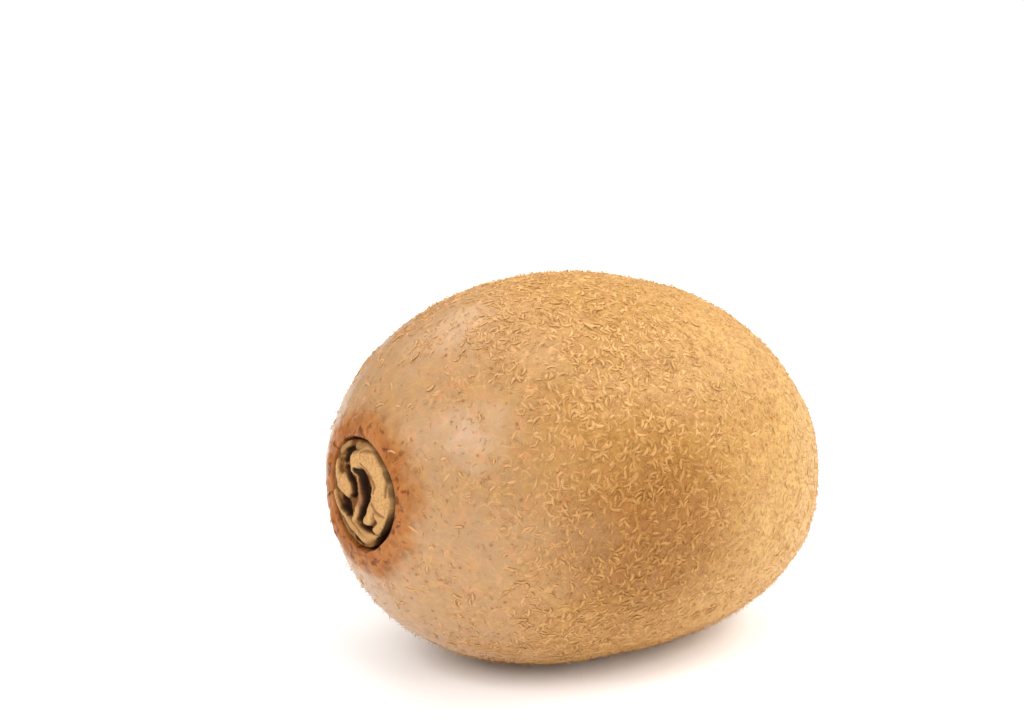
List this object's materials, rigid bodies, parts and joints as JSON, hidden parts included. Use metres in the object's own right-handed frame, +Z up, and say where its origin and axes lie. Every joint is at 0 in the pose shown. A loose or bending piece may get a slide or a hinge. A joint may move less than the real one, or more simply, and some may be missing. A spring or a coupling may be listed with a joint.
{
  "type": "golden kiwi fruit",
  "caption": "Whole golden kiwi fruit lying on its side, with a folded corky stem scar at one end and dried flower styles at the other.",
  "frame": {"origin": "on the surface that the fruit rests on, under the middle of its bounding box", "axes": "+Z up; +X along the fruit's long axis from the stem end to the blossom end, which hangs about 4.5 degrees lower; +Y across"},
  "size_m": [0.0734, 0.054, 0.0526],
  "materials": {
    "skin": "thin matte golden-tan skin with short matted hairs, slightly waxy and smoother at the stem end",
    "cork": "dry folded cork, khaki tan on the ridges and dark brown in the grooves",
    "dried_style": "shrivelled dark brown plant fibre"
  },
  "bodies": {
    "root": {"fruit": "skin", "stem_scar": "cork", "style_tuft": "dried_style"}
  },
  "joints": []
}
